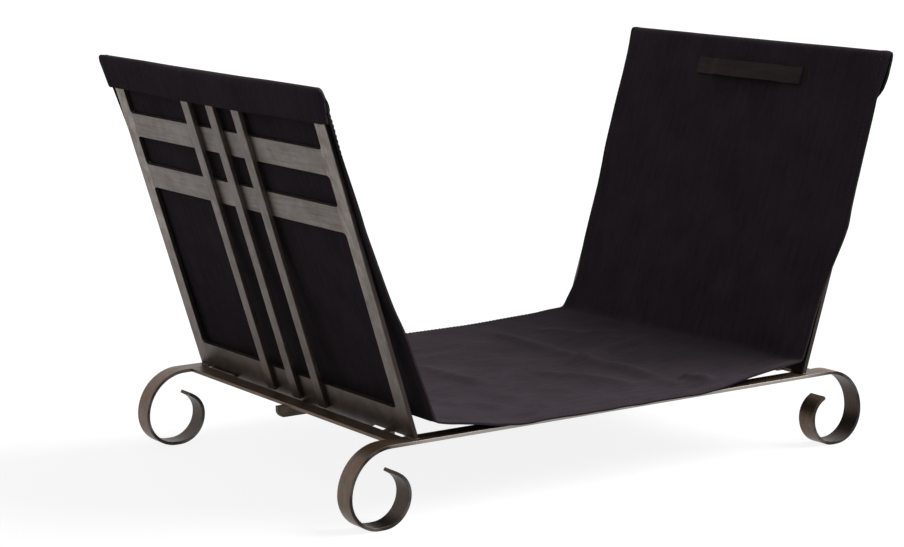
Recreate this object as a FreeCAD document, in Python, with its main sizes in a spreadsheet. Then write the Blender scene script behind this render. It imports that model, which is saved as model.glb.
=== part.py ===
"""Log holder: a welded flat-bar frame on scroll feet, with a lift-off carrier hung between two leaning end panels.

Millimetres and degrees. The origin is on the floor under the middle, +X along the length, +Y to the rear, +Z up.
"""
import FreeCAD, Part
import math
import os
import re
import Sketcher

# Driving dimensions
SIZES = {
    # base
    "rail_width": 19.0,          # flat bar of the rails
    "rail_thickness": 3.0,       # of the rails and the cross bars
    "rail_top": 70.0,            # top of the rails above the floor
    "rail_reveal": 4.5,          # outer edge of a rail past the uprights that stand on it
    "scroll_run": 25.3,          # from the panel's foot line out to the start of the scroll
    "bend_radius": 39.0,         # scroll radii at mid thickness, from the rail inwards
    "toe_radius": 25.0,
    "curl_radius": 20.0,
    "curl_turn": 60.0,           # last turn of the scroll
    "sole_length": 4.0,          # flat of the scroll that stands on the floor
    "tip_length": 4.0,
    "cross_gap": 2.8,            # from the panel's foot line out to the cross bar
    "cross_width": 16.0,         # flat bar of the cross bars
    "center_height": 10.5,       # bar on edge under the cross bars
    "center_thickness": 4.0,
    "center_overhang": 6.0,      # past the cross bars
    "center_corner": 7.0,
    # end panels, levels measured up the slope from the top of the rails
    "foot_half": 214.7,          # from the middle to the outer face of a panel at the rails
    "lean": 17.5,
    "panel_width": 356.0,
    "panel_height": 301.4,
    "panel_thickness": 4.0,
    "upright_width": 16.0,
    "cross_rail_height": 22.3,
    "bottom_level": -2.0,        # lower edge of the bottom rail, inside the cross bar
    "bottom_rail_top": 25.0,
    "relief_level": 0.4,         # lower edge at its ends
    "relief_length": 48.0,
    "cross_rail_gap": 26.9,      # between the upper three rails
    "slat_width": 12.0,
    "slat_thickness": 4.0,
    "slat_pitch": 43.0,
    "slat_foot": 2.8,
    "slat_head_gap": 1.0,        # from the top of the panel down to the slats' heads
    "lug_width": 9.0,
    "lug_gap": 18.5,             # from the uprights
    # carrier
    "cloth_thickness": 2.0,
    "carrier_overhang": 7.0,     # past the panel on each side
    "pocket_gap": 0.5,           # between cloth and steel inside a pocket
    "pocket_side_gap": 3.0,
    "flap_depth": 28.6,
    "pocket_round": 3.0,
    "knee_drop": 72.0,           # below the pocket's top; above it a wall follows its panel
    "belly_level": 36.0,         # where a wall stands furthest off its panel
    "belly_depth": 12.0,         # how far, beyond its place at the top
    "soft_bend": 120.0,
    "crease_run": 13.9,          # from the panel's foot line in to the fold between floor and wall
    "crease_rise": 9.0,          # underside of the fold above the rails
    "shelf_length": 16.0,        # upper end of the floor's slope
    "shelf_drop": 1.0,
    "slope_run": 70.0,           # from the floor's end in to where it lies flat
    "floor_gap": 0.3,            # between the floor and the rails
    "split_gap": 0.3,            # between the floor and the walls
    "handle_length": 147.0,
    "handle_width": 16.0,
    "handle_thickness": 2.5,
    "handle_drop": 23.5,         # from the pocket's top down to the strap
    "handle_shift": -10.0,       # from mid depth, towards the front
    "handle_stand_off": 8.0,
    "handle_patch": 18.0,        # sewn length at each end
    "handle_ramp": 14.0,
    "handle_round": 6.0,
}

LEFT, RIGHT = -1, 1
SIDE_NAMES = {LEFT: "left", RIGHT: "right"}

doc = FreeCAD.newDocument("LogHolder")
sheet = doc.addObject("Spreadsheet::Sheet", "Sizes")
for row, (alias, size) in enumerate(SIZES.items(), start=1):
    sheet.set(f"A{row}", str(size))
    sheet.setAlias(f"A{row}", alias)
doc.recompute()
nodes = []

RAIL_SPREAD = "(panel_width + 2 * rail_reveal)"
CARRIER_WIDTH = "(panel_width + 2 * carrier_overhang)"


# Helpers
def bound(formula):
    """The formula with each size name pointing at its cell."""
    return re.sub(r"\b[a-z_]+\b", lambda word: "Sizes." + word[0] if word[0] in SIZES else word[0], formula)


def value(formula):
    """The formula's number at the present sizes."""
    result = sheet.evalExpression(bound(formula))
    return float(getattr(result, "Value", result))


def bind(thing, prop, formula):
    thing.setExpression(prop, bound(formula))


def flip(side, formula):
    """The formula for a distance outwards from the middle, on the given side."""
    return f"-({formula})" if side == LEFT else f"({formula})"


def inwards(side, outline):
    """An outline given by depth from the outer face, turned towards the middle on the given side."""
    return [(flip(-side, depth), level) for depth, level in outline]


def new_body(label):
    body = doc.addObject("PartDesign::Body", label)
    body.Label = label
    nodes.append(body)
    return body


def new_sketch(body, name, role):
    sketch = body.newObject("Sketcher::SketchObject", name)
    plane = next(f for f in body.Origin.OriginFeatures if f.Role == role)
    sketch.AttachmentSupport = [(plane, "")]
    sketch.MapMode = "FlatFace"
    return sketch


def dimension(sketch, constraint, formula):
    index = sketch.addConstraint(constraint)
    bind(sketch, f"Constraints[{index}]", formula)


def pin_point(sketch, edge, end, x, y):
    """Ties an edge's end to its place, given as two formulas."""
    dimension(sketch, Sketcher.Constraint("DistanceX", -1, 1, edge, end, value(x)), x)
    dimension(sketch, Sketcher.Constraint("DistanceY", -1, 1, edge, end, value(y)), y)


def polygon(sketch, corners):
    """A closed outline with straight edges through corners given as formulas."""
    places = [FreeCAD.Vector(value(x), value(y), 0) for x, y in corners]
    count = len(places)
    for i in range(count):
        sketch.addGeometry(Part.LineSegment(places[i], places[(i + 1) % count]), False)
    for i in range(count):
        sketch.addConstraint(Sketcher.Constraint("Coincident", i, 2, (i + 1) % count, 1))
    for i, (x, y) in enumerate(corners):
        pin_point(sketch, i, 1, x, y)


def pad(body, sketch, length, symmetric=True):
    feature = body.newObject("PartDesign::Pad", sketch.Name + "_pad")
    feature.Profile = sketch
    if symmetric:
        feature.SideType = "Symmetric"
    bind(feature, "Length", length)
    sketch.Visibility = False
    return feature


def round_edges(body, base, places, radius, name):
    """Rounds the base feature's straight edges that pass through the given places, in the body's own frame."""
    doc.recompute()
    picked = []
    for number, edge in enumerate(base.Shape.Edges, start=1):
        if any(edge.distToShape(Part.Vertex(place))[0] < 1e-4 for place in places):
            picked.append(f"Edge{number}")
    if len(picked) != len(places):
        raise RuntimeError(f"{name}: {len(picked)} edges found for {len(places)} places")
    feature = body.newObject("PartDesign::Fillet", name)
    feature.Base = (base, picked)
    bind(feature, "Radius", radius)
    return feature


def trace(sketch, start, heading, steps, offset):
    """One side of a bent bar, set off to the left of the path that the steps describe.

    A step is ("line", length) or ("turn", radius, degrees to the left). Returns the first and the last edge.
    """
    place = FreeCAD.Vector(value(start[0]), value(start[1]), 0)
    direction = heading
    set_off = value(offset)
    earlier = None
    first = None
    for kind, *sizes in steps:
        along = FreeCAD.Vector(math.cos(direction), math.sin(direction), 0)
        left = FreeCAD.Vector(-along.y, along.x, 0)
        if kind == "line":
            end = place + along * value(sizes[0])
            edge = sketch.addGeometry(Part.LineSegment(place + left * set_off, end + left * set_off), False)
            dimension(sketch, Sketcher.Constraint("Distance", edge, value(sizes[0])), sizes[0])
        else:
            radius, turn = value(sizes[0]), math.radians(value(sizes[1]))
            center = place + left * radius
            begin = direction - math.pi / 2
            circle = Part.Circle(center, FreeCAD.Vector(0, 0, 1), radius - set_off)
            edge = sketch.addGeometry(Part.ArcOfCircle(circle, begin, begin + turn), False)
            length = f"{sizes[0]} - ({offset})"
            dimension(sketch, Sketcher.Constraint("Radius", edge, radius - set_off), length)
            dimension(sketch, Sketcher.Constraint("Angle", edge, turn), f"({sizes[1]}) * 1 deg")
            direction += turn
            end = center + FreeCAD.Vector(math.sin(direction), -math.cos(direction), 0) * radius
        if earlier is None:
            first = edge
        else:
            sketch.addConstraint(Sketcher.Constraint("Tangent", earlier, 2, edge, 1))
        earlier = edge
        place = end
    return first, earlier


# Base
def scroll_rail(label, y):
    """A flat bar whose ends are rolled into scroll feet: half of it is drawn and mirrored."""
    body = new_body(label)
    sketch = new_sketch(body, label + "_outline", "XZ_Plane")
    heel_radius = "rail_top - rail_thickness - bend_radius"
    steps = [
        ("line", "foot_half + scroll_run"),
        ("turn", "bend_radius", "90"),
        ("turn", heel_radius, "90"),
        ("line", "sole_length"),
        ("turn", "toe_radius", "90"),
        ("turn", "curl_radius", "curl_turn"),
        ("line", "tip_length"),
    ]
    start = ("0", "rail_top - rail_thickness / 2")
    ends = []
    for offset, height in (("rail_thickness / 2", "rail_top - rail_thickness"), ("-rail_thickness / 2", "rail_top")):
        first, last = trace(sketch, start, math.pi, steps, offset)
        pin_point(sketch, first, 1, "0", height)
        sketch.addConstraint(Sketcher.Constraint("Horizontal", first))
        ends.append((first, last))
    (inner_first, inner_last), (outer_first, outer_last) = ends
    for a, a_end, b, b_end in ((inner_first, 1, outer_first, 1), (inner_last, 2, outer_last, 2)):
        cap = sketch.addGeometry(Part.LineSegment(sketch.getPoint(a, a_end), sketch.getPoint(b, b_end)), False)
        sketch.addConstraint(Sketcher.Constraint("Coincident", cap, 1, a, a_end))
        sketch.addConstraint(Sketcher.Constraint("Coincident", cap, 2, b, b_end))
    half = pad(body, sketch, "rail_width")
    mirror = body.newObject("PartDesign::Mirrored", label + "_mirror")
    mirror.Originals = [half]
    mirror.MirrorPlane = (next(f for f in body.Origin.OriginFeatures if f.Role == "YZ_Plane"), [""])
    body.Tip = mirror
    bind(body, "Placement.Base.y", y)


def cross_bar(side):
    bar = doc.addObject("Part::Box", SIDE_NAMES[side] + "_cross_bar")
    bind(bar, "Length", "cross_width")
    bind(bar, "Width", f"{RAIL_SPREAD} - 2 * rail_width")
    bind(bar, "Height", "rail_thickness")
    inner_edge = "foot_half + cross_gap"
    bind(bar, "Placement.Base.x", inner_edge if side == RIGHT else f"-({inner_edge} + cross_width)")
    bind(bar, "Placement.Base.y", f"rail_width - {RAIL_SPREAD} / 2")
    bind(bar, "Placement.Base.z", "rail_top - rail_thickness")
    nodes.append(bar)


def center_rail():
    body = new_body("center_rail")
    sketch = new_sketch(body, "center_rail_outline", "XZ_Plane")
    end = "foot_half + cross_gap + cross_width + center_overhang"
    top = "rail_top - rail_thickness"
    bottom = f"{top} - center_height"
    polygon(sketch, [(f"-({end})", bottom), (end, bottom), (end, top), (f"-({end})", top)])
    bar = pad(body, sketch, "center_thickness")
    corners = [FreeCAD.Vector(side * value(end), 0, value(bottom)) for side in (LEFT, RIGHT)]
    round_edges(body, bar, corners, "center_corner", "center_rail_corners")


# End panels
def slope_place(side, depth, level):
    """X and Z formulas of a point on a panel: depth inwards from its outer face, level up its slope."""
    x = flip(side, f"foot_half + ({level}) * sin(lean) - ({depth}) * cos(lean)")
    z = f"rail_top + ({level}) * cos(lean) + ({depth}) * sin(lean)"
    return x, z


def tilt(thing, side, depth, level, y="0"):
    """Sets a thing upright on a panel's slope, with its origin at the given depth and level."""
    x, z = slope_place(side, depth, level)
    bind(thing, "Placement.Base.x", x)
    bind(thing, "Placement.Base.y", y)
    bind(thing, "Placement.Base.z", z)
    thing.Placement.Rotation = FreeCAD.Rotation(FreeCAD.Vector(0, 1, 0), 1)
    bind(thing, "Placement.Rotation.Axis.y", "1")
    bind(thing, "Placement.Rotation.Angle", flip(side, "lean") + " * 1 deg")


def panel_bar(label, side, outer_depth, thickness, y, width, level, height):
    """A straight flat bar of an end panel, from y towards the rear and from level up the slope."""
    bar = doc.addObject("Part::Box", f"{SIDE_NAMES[side]}_{label}")
    bind(bar, "Length", thickness)
    bind(bar, "Width", width)
    bind(bar, "Height", height)
    tilt(bar, side, outer_depth if side == LEFT else f"{outer_depth} + {thickness}", level, y)
    nodes.append(bar)


def upright(label, side, y):
    """A flat bar cut level at its foot, where it stands on the rail."""
    body = new_body(f"{SIDE_NAMES[side]}_{label}")
    sketch = new_sketch(body, body.Label + "_outline", "XZ_Plane")
    inner_foot = flip(side, "foot_half - panel_thickness / cos(lean)")
    polygon(sketch, [
        (flip(side, "foot_half"), "rail_top"),
        (inner_foot, "rail_top"),
        slope_place(side, "panel_thickness", "panel_height"),
        slope_place(side, "0", "panel_height"),
    ])
    pad(body, sketch, "upright_width")
    bind(body, "Placement.Base.y", y)


def bottom_rail(side):
    """The lowest bar of a panel, with a relief at each end of its lower edge."""
    body = new_body(SIDE_NAMES[side] + "_bottom_rail")
    tilt(body, side, "0" if side == LEFT else "panel_thickness", "0")
    sketch = new_sketch(body, body.Label + "_outline", "YZ_Plane")
    end = "(panel_width / 2 - upright_width)"
    step = f"({end} - relief_length)"
    rear_half = [(step, "bottom_level"), (step, "relief_level"), (end, "relief_level"), (end, "bottom_rail_top")]
    front_half = [(f"-{y}", level) for y, level in reversed(rear_half)]
    polygon(sketch, rear_half + front_half)
    pad(body, sketch, "panel_thickness", symmetric=False)


def lug(label, side, y):
    """A tab from the cross bar's inner edge up to the bottom rail, inside its relief."""
    body = new_body(f"{SIDE_NAMES[side]}_{label}")
    sketch = new_sketch(body, body.Label + "_outline", "XZ_Plane")
    bar_edge = flip(side, "foot_half + cross_gap")
    inner_corner = slope_place(side, "panel_thickness", "relief_level")
    polygon(sketch, [
        (bar_edge, "rail_top - rail_thickness"),
        (inner_corner[0], "rail_top - rail_thickness"),
        inner_corner,
        slope_place(side, "0", "relief_level"),
        (bar_edge, "rail_top"),
    ])
    pad(body, sketch, "lug_width")
    bind(body, "Placement.Base.y", y)


def end_panel(side):
    half_span = "(panel_width - upright_width) / 2"
    upright("front_upright", side, f"-{half_span}")
    upright("rear_upright", side, half_span)
    bottom_rail(side)
    clear_width = "panel_width - 2 * upright_width"
    top_level = "panel_height - cross_rail_height"
    step_down = "(cross_rail_height + cross_rail_gap)"
    levels = {
        "lower_rail": f"{top_level} - 2 * {step_down}",
        "upper_rail": f"{top_level} - {step_down}",
        "top_rail": top_level,
    }
    for label, level in levels.items():
        panel_bar(label, side, "0", "panel_thickness", f"-({clear_width}) / 2", clear_width, level, "cross_rail_height")
    slat_height = "panel_height - slat_head_gap - slat_foot"
    for label, step in (("front_slat", -1), ("middle_slat", 0), ("rear_slat", 1)):
        y = f"{step} * slat_pitch - slat_width / 2"
        panel_bar(label, side, "-slat_thickness", "slat_thickness", y, "slat_width", "slat_foot", slat_height)
    lug_offset = "(panel_width / 2 - upright_width - lug_gap - lug_width / 2)"
    lug("front_lug", side, f"-{lug_offset}")
    lug("rear_lug", side, lug_offset)


# Carrier
OUTER_FACE = "-(slat_thickness + pocket_gap + cloth_thickness)"
INNER_FACE = "panel_thickness + pocket_gap + cloth_thickness"
POCKET_TOP = "panel_height + pocket_gap + cloth_thickness"
POCKET_MOUTH = "panel_height + pocket_gap + cloth_thickness - flap_depth"
CREASE_DEPTH = "crease_run * cos(lean) + crease_rise * sin(lean)"
CREASE_LEVEL = "crease_rise * cos(lean) - crease_run * sin(lean)"


def carrier_wall(side):
    """A hanging end of the carrier, with the pocket that slips over the panel and its slats."""
    body = new_body(SIDE_NAMES[side] + "_wall")
    tilt(body, side, "0", "0")
    inner_side = [
        (INNER_FACE, POCKET_TOP),
        (INNER_FACE, f"{POCKET_TOP} - knee_drop"),
        (f"{INNER_FACE} + belly_depth", "belly_level"),
        (CREASE_DEPTH, CREASE_LEVEL),
    ]
    panel_side = [(f"{depth} - cloth_thickness", level) for depth, level in reversed(inner_side[1:])]
    outline = inner_side + panel_side + [
        (f"{INNER_FACE} - cloth_thickness", POCKET_MOUTH),
        (OUTER_FACE, POCKET_MOUTH),
        (OUTER_FACE, POCKET_TOP),
    ]
    sketch = new_sketch(body, body.Label + "_outline", "XZ_Plane")
    polygon(sketch, inwards(side, outline))
    block = pad(body, sketch, CARRIER_WIDTH)
    doc.recompute()
    solid_volume = block.Shape.Volume

    mouth = new_sketch(body, body.Label + "_mouth", "XZ_Plane")
    cavity = [
        ("-(slat_thickness + pocket_gap)", POCKET_MOUTH),
        ("panel_thickness + pocket_gap", POCKET_MOUTH),
        ("panel_thickness + pocket_gap", "panel_height + pocket_gap"),
        ("-(slat_thickness + pocket_gap)", "panel_height + pocket_gap"),
    ]
    polygon(mouth, inwards(side, cavity))
    hollow = body.newObject("PartDesign::Pocket", body.Label + "_pocket")
    hollow.Profile = mouth
    hollow.SideType = "Symmetric"
    bind(hollow, "Length", "panel_width + 2 * pocket_side_gap")
    mouth.Visibility = False
    doc.recompute()
    if not hollow.Shape.Volume < solid_volume:
        raise RuntimeError(body.Label + ": the pocket cuts nothing")

    def at(depth, level):
        return FreeCAD.Vector(-side * value(depth), 0, value(level))

    rims = [at(OUTER_FACE, POCKET_TOP), at(INNER_FACE, POCKET_TOP)]
    rounded = round_edges(body, hollow, rims, "pocket_round", body.Label + "_rims")
    bends = [at(depth, level) for depth, level in inner_side[1:3] + panel_side[1:3]]
    round_edges(body, rounded, bends, "soft_bend", body.Label + "_bends")


def carrier_floor():
    """The strip between the walls: flat on the rails, rising to the folds at its ends."""
    body = new_body("carrier_floor")
    sketch = new_sketch(body, "carrier_floor_outline", "XZ_Plane")
    end = "foot_half - crease_run - split_gap"
    fold = "rail_top + crease_rise"
    right_half = [
        (f"{end} - slope_run", "rail_top + floor_gap"),
        (f"{end} - shelf_length", f"{fold} - shelf_drop"),
        (end, fold),
    ]
    under = [(f"-({x})", z) for x, z in reversed(right_half)] + right_half
    over = [(x, f"{z} + cloth_thickness") for x, z in reversed(under)]
    polygon(sketch, under + over)
    strip = pad(body, sketch, CARRIER_WIDTH)
    bends = []
    for x, z in right_half[:2]:
        for lift in ("0", "cloth_thickness"):
            bends += [FreeCAD.Vector(side * value(x), 0, value(f"{z} + {lift}")) for side in (LEFT, RIGHT)]
    round_edges(body, strip, bends, "soft_bend / 2", "carrier_floor_bends")


def handle(side):
    """A strap sewn down at both ends, standing off the wall between them."""
    body = new_body(SIDE_NAMES[side] + "_handle")
    tilt(body, side, INNER_FACE, f"{POCKET_TOP} - handle_drop - handle_width", "handle_shift")
    sketch = new_sketch(body, body.Label + "_outline", "XY_Plane")
    half = [
        ("handle_stand_off", "handle_length / 2 - handle_patch - handle_ramp"),
        ("0", "handle_length / 2 - handle_patch"),
        ("0", "handle_length / 2"),
    ]
    wall_side = [(depth, f"-({y})") for depth, y in reversed(half)] + half
    hand_side = [(f"{depth} + handle_thickness", y) for depth, y in reversed(wall_side)]
    outline = wall_side + hand_side
    polygon(sketch, inwards(side, outline))
    strap = pad(body, sketch, "handle_width", symmetric=False)
    corners = [c for c in outline if c[1] not in (half[2][1], f"-({half[2][1]})")]
    middle = value("handle_width") / 2
    bends = [FreeCAD.Vector(-side * value(depth), value(y), middle) for depth, y in corners]
    round_edges(body, strap, bends, "handle_round", body.Label + "_bends")


scroll_rail("front_rail", f"rail_width / 2 - {RAIL_SPREAD} / 2")
scroll_rail("rear_rail", f"{RAIL_SPREAD} / 2 - rail_width / 2")
center_rail()
for panel_side in (LEFT, RIGHT):
    cross_bar(panel_side)
    end_panel(panel_side)
    carrier_wall(panel_side)
    handle(panel_side)
carrier_floor()
doc.recompute()

# Checks, then one file for each piece
for item in doc.Objects:
    if "Invalid" in item.State or "Error" in item.State:
        raise RuntimeError(f"{item.Label}: {item.State}")
for node in nodes:
    if node.Shape.isNull() or not node.Shape.isValid():
        raise RuntimeError(f"{node.Label}: no valid shape")

os.makedirs("parts", exist_ok=True)
for node in nodes:
    node.Shape.exportStep(f"parts/{node.Label}.step")
    print(f"{node.Label}: {len(node.Shape.Solids)} solid, {node.Shape.Volume / 1000:.2f} cm3")
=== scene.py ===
"""Looks of the log holder: cloth carrier, straps, stitches, welds, finishes, camera and light.

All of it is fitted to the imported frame. Lengths are worked out in millimetres, in the frame's own axes,
and turned to metres when a mesh is made. A place on an end panel is given by its level up the slope, from
the top of the rails, and its depth inwards from the panel's outer face.
"""

import math

import bmesh
import bpy
import numpy as np
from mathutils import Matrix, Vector


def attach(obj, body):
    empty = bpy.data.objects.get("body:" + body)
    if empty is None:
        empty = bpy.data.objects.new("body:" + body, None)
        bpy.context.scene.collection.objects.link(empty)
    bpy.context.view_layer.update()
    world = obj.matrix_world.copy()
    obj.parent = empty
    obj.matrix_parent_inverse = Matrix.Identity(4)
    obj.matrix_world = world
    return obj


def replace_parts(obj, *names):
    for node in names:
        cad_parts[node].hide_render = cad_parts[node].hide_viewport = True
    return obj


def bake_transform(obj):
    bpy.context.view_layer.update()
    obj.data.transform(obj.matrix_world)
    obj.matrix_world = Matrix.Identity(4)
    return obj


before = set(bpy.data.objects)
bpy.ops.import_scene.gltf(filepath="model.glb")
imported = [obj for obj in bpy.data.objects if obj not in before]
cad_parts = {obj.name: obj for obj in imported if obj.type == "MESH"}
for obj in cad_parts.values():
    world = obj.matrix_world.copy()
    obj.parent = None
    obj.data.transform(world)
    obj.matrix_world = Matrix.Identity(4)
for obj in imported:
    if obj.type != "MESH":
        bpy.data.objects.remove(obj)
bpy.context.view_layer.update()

MM = 0.001
LEFT, RIGHT = -1, 1
SIDE_NAMES = {LEFT: "left", RIGHT: "right"}
SAME_PLACE = 0.01


# Sizes of the frame, read from its nodes
def corners_of(node):
    """The corners of a CAD node."""
    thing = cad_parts[node]
    return np.array([thing.matrix_world @ corner.co for corner in thing.data.vertices]) / MM


rail = corners_of("front_rail")
upright = corners_of("right_front_upright")
foot = upright[upright[:, 2] < upright[:, 2].min() + SAME_PLACE]
head = upright[upright[:, 0].argmax()]
RAIL_TOP = rail[:, 2].max()
RAIL_INNER = -rail[:, 1].max()
FOOT_HALF = foot[:, 0].max()
LEAN = math.atan2(head[0] - FOOT_HALF, head[2] - RAIL_TOP)
PANEL_HEIGHT = math.hypot(head[0] - FOOT_HALF, head[2] - RAIL_TOP)
PANEL_DEPTH = (FOOT_HALF - foot[:, 0].min()) * math.cos(LEAN)
PANEL_HALF = -upright[:, 1].min()
UPRIGHT_WIDTH = np.ptp(upright[:, 1])
CROSS_EDGE = corners_of("right_cross_bar")[:, 0].min()


def on_panel(side, depth, level):
    """X and Z of a place on a panel."""
    x = side * (FOOT_HALF + level * math.sin(LEAN) - depth * math.cos(LEAN))
    z = RAIL_TOP + level * math.cos(LEAN) + depth * math.sin(LEAN)
    return x, z


def placed(side, depth, level, y):
    """Points in the frame's axes for places on a panel."""
    x, z = on_panel(side, depth, level)
    return np.stack([x, y, z], -1)


def rail_span(node):
    """Levels of the lower and upper edge of a rail of the right panel, at its rear end."""
    corners = corners_of(node)
    end = corners[corners[:, 1] > corners[:, 1].max() - SAME_PLACE]
    level = (end[:, 0] - FOOT_HALF) * math.sin(LEAN) + (end[:, 2] - RAIL_TOP) * math.cos(LEAN)
    return level.min(), level.max()


RAIL_SPANS = [rail_span(f"right_{name}_rail") for name in ("bottom", "lower", "upper")]
slat = corners_of("right_rear_slat")
SLAT_HALF = slat[:, 1].max()
SLAT_DEPTH = ((slat[:, 0] - FOOT_HALF) * math.cos(LEAN) - (slat[:, 2] - RAIL_TOP) * math.sin(LEAN)).max()

# Cloth: thickness, clearance to the steel, and the depths, levels and edges it hangs to
CLOTH = 1.8
CLEAR = 0.5
FLOOR_GAP = 0.3
INNER = PANEL_DEPTH + CLEAR + CLOTH / 2
OUTER = -SLAT_DEPTH - CLEAR - CLOTH / 2
MOUTH = 277.0
RIM = 297.0
TOP_RISE = PANEL_HEIGHT + CLEAR + CLOTH / 2 - RIM
FLAT = RAIL_TOP + FLOOR_GAP + CLOTH / 2
FLOOR_NEAR, FLOOR_FAR = -184.5, 182.0

# Hems along the carrier's edges: width, ease, how far they stand out, and the columns of their stitches
HEM, HEM_EASE, HEM_RISE = 10.0, 2.0, 0.4
HEM_COLUMNS = (2, -3)

# Grid of one half of the carrier: rows along its run, columns from its near edge to its far one
FLAP_ROWS, TOP_ROWS, WALL_ROWS, FLOOR_ROWS = 9, 9, 98, 67
COLUMNS = 125
ACROSS = np.linspace(0.0, 1.0, COLUMNS)[None, :]

# Rows on each side of the fold between wall and floor that are evened out
CREASE_ROWS = 5

# How each end of the carrier hangs, both ends with the same entries
ENDS = {
    LEFT: {
        # edges along y, by level
        "near": ((0, -184.5), (30, -186), (200, -185.5), (236, -184.5), (268, -185), (290, -188),
                 (305, -190)),
        "flap_near": ((260, -185), (277, -186), (290, -188), (305, -190)),
        "far": ((0, 183), (240, 184), (277, 185), (305, 189)),
        # how far the wall stands off its panel, by level
        "belly": ((0, 14.5), (7.7, 14.2), (17, 13.0), (35, 11.7), (59, 9.8), (82, 8.5), (95, 7.0),
                  (110, 4.2), (126, 2.5), (150, 0.8), (180, 0), (305, 0)),
        "far_belly": ((0, 4.4), (17, 3.5), (35, 2.5), (82, 1.3), (132, 0.4), (180, 0), (305, 0)),
        # by the share of the way across
        "belly_share": ((0, 1.0), (0.5, 0.95), (1, 1.0)),
        "fold_level": ((0, 7.7), (1, 7.7)),
        "mouth_drop": ((0, 0), (1, 0)),
        "pleats": ((0, 0.4), (1, 0.2)),
        # how the floor comes down to the rails, by distance from the fold
        "rise": ((0, 1.0), (12, 0.77), (34, 0.47), (62, 0.13), (85, 0), (220, 0)),
        # radii of the top corners, slack over the top, and rounds that even out the fold
        "near_corner": 9.0,
        "far_corner": 0.6,
        "top_slack": 1.8,
        "fold_softness": 1,
    },
    RIGHT: {
        "near": ((0, -178), (12, -178.5), (50, -179.5), (80, -181.5), (105, -185.5), (125, -189.5),
                 (141, -191.3), (155, -189), (180, -186.5), (230, -184), (262, -182.4), (277, -183.2),
                 (290, -184.2), (305, -183.5)),
        "flap_near": ((254, -171), (262, -176.5), (270, -182), (280, -184.5), (297, -184), (305, -183.5)),
        "far": ((0, 181), (10, 178.5), (20, 175.5), (38, 170), (58, 172.5), (77, 175), (136, 175),
                (156, 176.6), (175, 179), (230, 182), (277, 187), (305, 190.5)),
        "belly": ((0, 9.0), (12, 8.5), (30, 7.5), (60, 6.5), (110, 3.8), (170, 1.2), (230, 0), (305, 0)),
        "far_belly": ((0, 1.5), (10, 1.2), (30, 0.4), (60, 0), (305, 0)),
        "belly_share": ((0, 0.3), (0.3, 0.8), (0.7, 1.0), (1, 1.0)),
        "fold_level": ((0, 10.5), (0.4, 7.5), (1, 3.5)),
        "mouth_drop": ((0, 17), (0.04, 13), (0.15, 2), (0.3, 0), (1, 0)),
        "pleats": ((0, 1.0), (0.45, 0.8), (0.7, 0.2), (1, 0)),
        "rise": ((0, 1.0), (20, 0.84), (43, 0.66), (68, 0.45), (95, 0.2), (125, 0), (220, 0)),
        "near_corner": 0.8,
        "far_corner": 0.6,
        "top_slack": 0.0,
        "fold_softness": 2,
    },
}

# Flap: how far past the slats it is tight, the run over which it gets slack, and that slack
TIGHT_PAST_SLATS, SLACK_RUN, FLAP_SLACK = 7.0, 60.0, 2.4

# Side seams: span past the panel, how far outside its face the flap lies there, and the wall's pull by level
SEAM_START, SEAM_END = 0.5, 7.0
FLAP_SEAM_OUT = 0.95
SEAM_PULL = ((0, 0), (150, 0), (230, 2.4), (MOUTH, 4.4), (305, 4.4))

# Levels at which the side edges of the turn are read, and from which its corners round off
TOP_EDGE_LEVEL = RIM + 4.0
CORNER_START = MOUTH + 8.0

# Share of the way across over which the far belly takes over
FAR_BELLY = (0.55, 1.0)

# Waves and pleats of a wall: height, slant, stretch, size and seed, and the levels over which they fade
WALL_WAVES = ((1.1, 0.35, 0.35, 36.0, 11), (0.8, 0.0, 0.6, 70.0, 13))
WAVES_UPPER, WAVES_LOWER = (285, 190), (3, 50)
WALL_PLEATS = (1.6, 0.15, 0.12, 11.0, 17)
PLEATS_UPPER, PLEATS_LOWER = (120, 30), (3, 22)

# Floor: shares of the way from the fold to the middle over which its edges settle and its folds set in
EDGES_SETTLE = (0.0, 0.6)
FOLDS_SET_IN = (0.0, 0.12)

# Sag of the floor, by distance from its middle: depth, span across, and where along the floor it sets in
SAG, SAG_ACROSS, SAG_SETS_IN = 1.3, (150.0, 60.0), (0.2, 0.6)

# Drop of the floor's edges, by distance past the panel's side: depth, span across, and where it sets in
NEAR_DROP, NEAR_DROP_ACROSS, NEAR_DROP_SETS_IN = 2.0, (2.0, 7.0), (0.25, 0.5)
FAR_DROP, FAR_DROP_ACROSS, FAR_DROP_SETS_IN = 5.0, (-3.5, 8.0), (0.05, 0.3)

# How far clear of the rails the floor's folds may dip
RAIL_MARGIN = 4.5

# Storage folds and drag marks in the floor: width, height and path of each
FLOOR_FOLDS = (
    (8, 2.8, ((81, 168), (82, 110), (82, 60), (79, -21), (87, -75), (82, -130), (84, -180))),
    (7, 2.5, ((-75, -42), (1, -26), (79, -21), (111, -6), (146, -8), (197, 8))),
    (5, 3.6, ((98, -136), (106, -150), (114, -170))),
    (8, 2.0, ((-140, -90), (-109, -113), (-88, -145))),
    (9, 2.2, ((-120, 80), (-60, 60), (10, 75), (60, 110))),
    (8, 1.8, ((-64, 60), (-58, -3), (-54, -60))),
    (7, 1.8, ((10, -30), (40, -80), (50, -140))),
    (7, 1.8, ((120, 120), (140, 60), (176, 40))),
)

# The swell under a fold, as multiples of its height and width, and the share of its path that fades
SWELL_SHARE, SWELL_WIDTH = 0.6, 2.6
FOLD_FADE = 0.25

# Bumps all over the floor: height, size and seed
FLOOR_BUMPS = ((0.8, 42.0, 3), (0.35, 17.0, 5))

# Fineness of soft lines and of noise
CURVE_STEPS, CURVE_ROUNDS = 400, 60
NOISE_CELLS, NOISE_SHIFT = 96, 40.0


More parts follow.
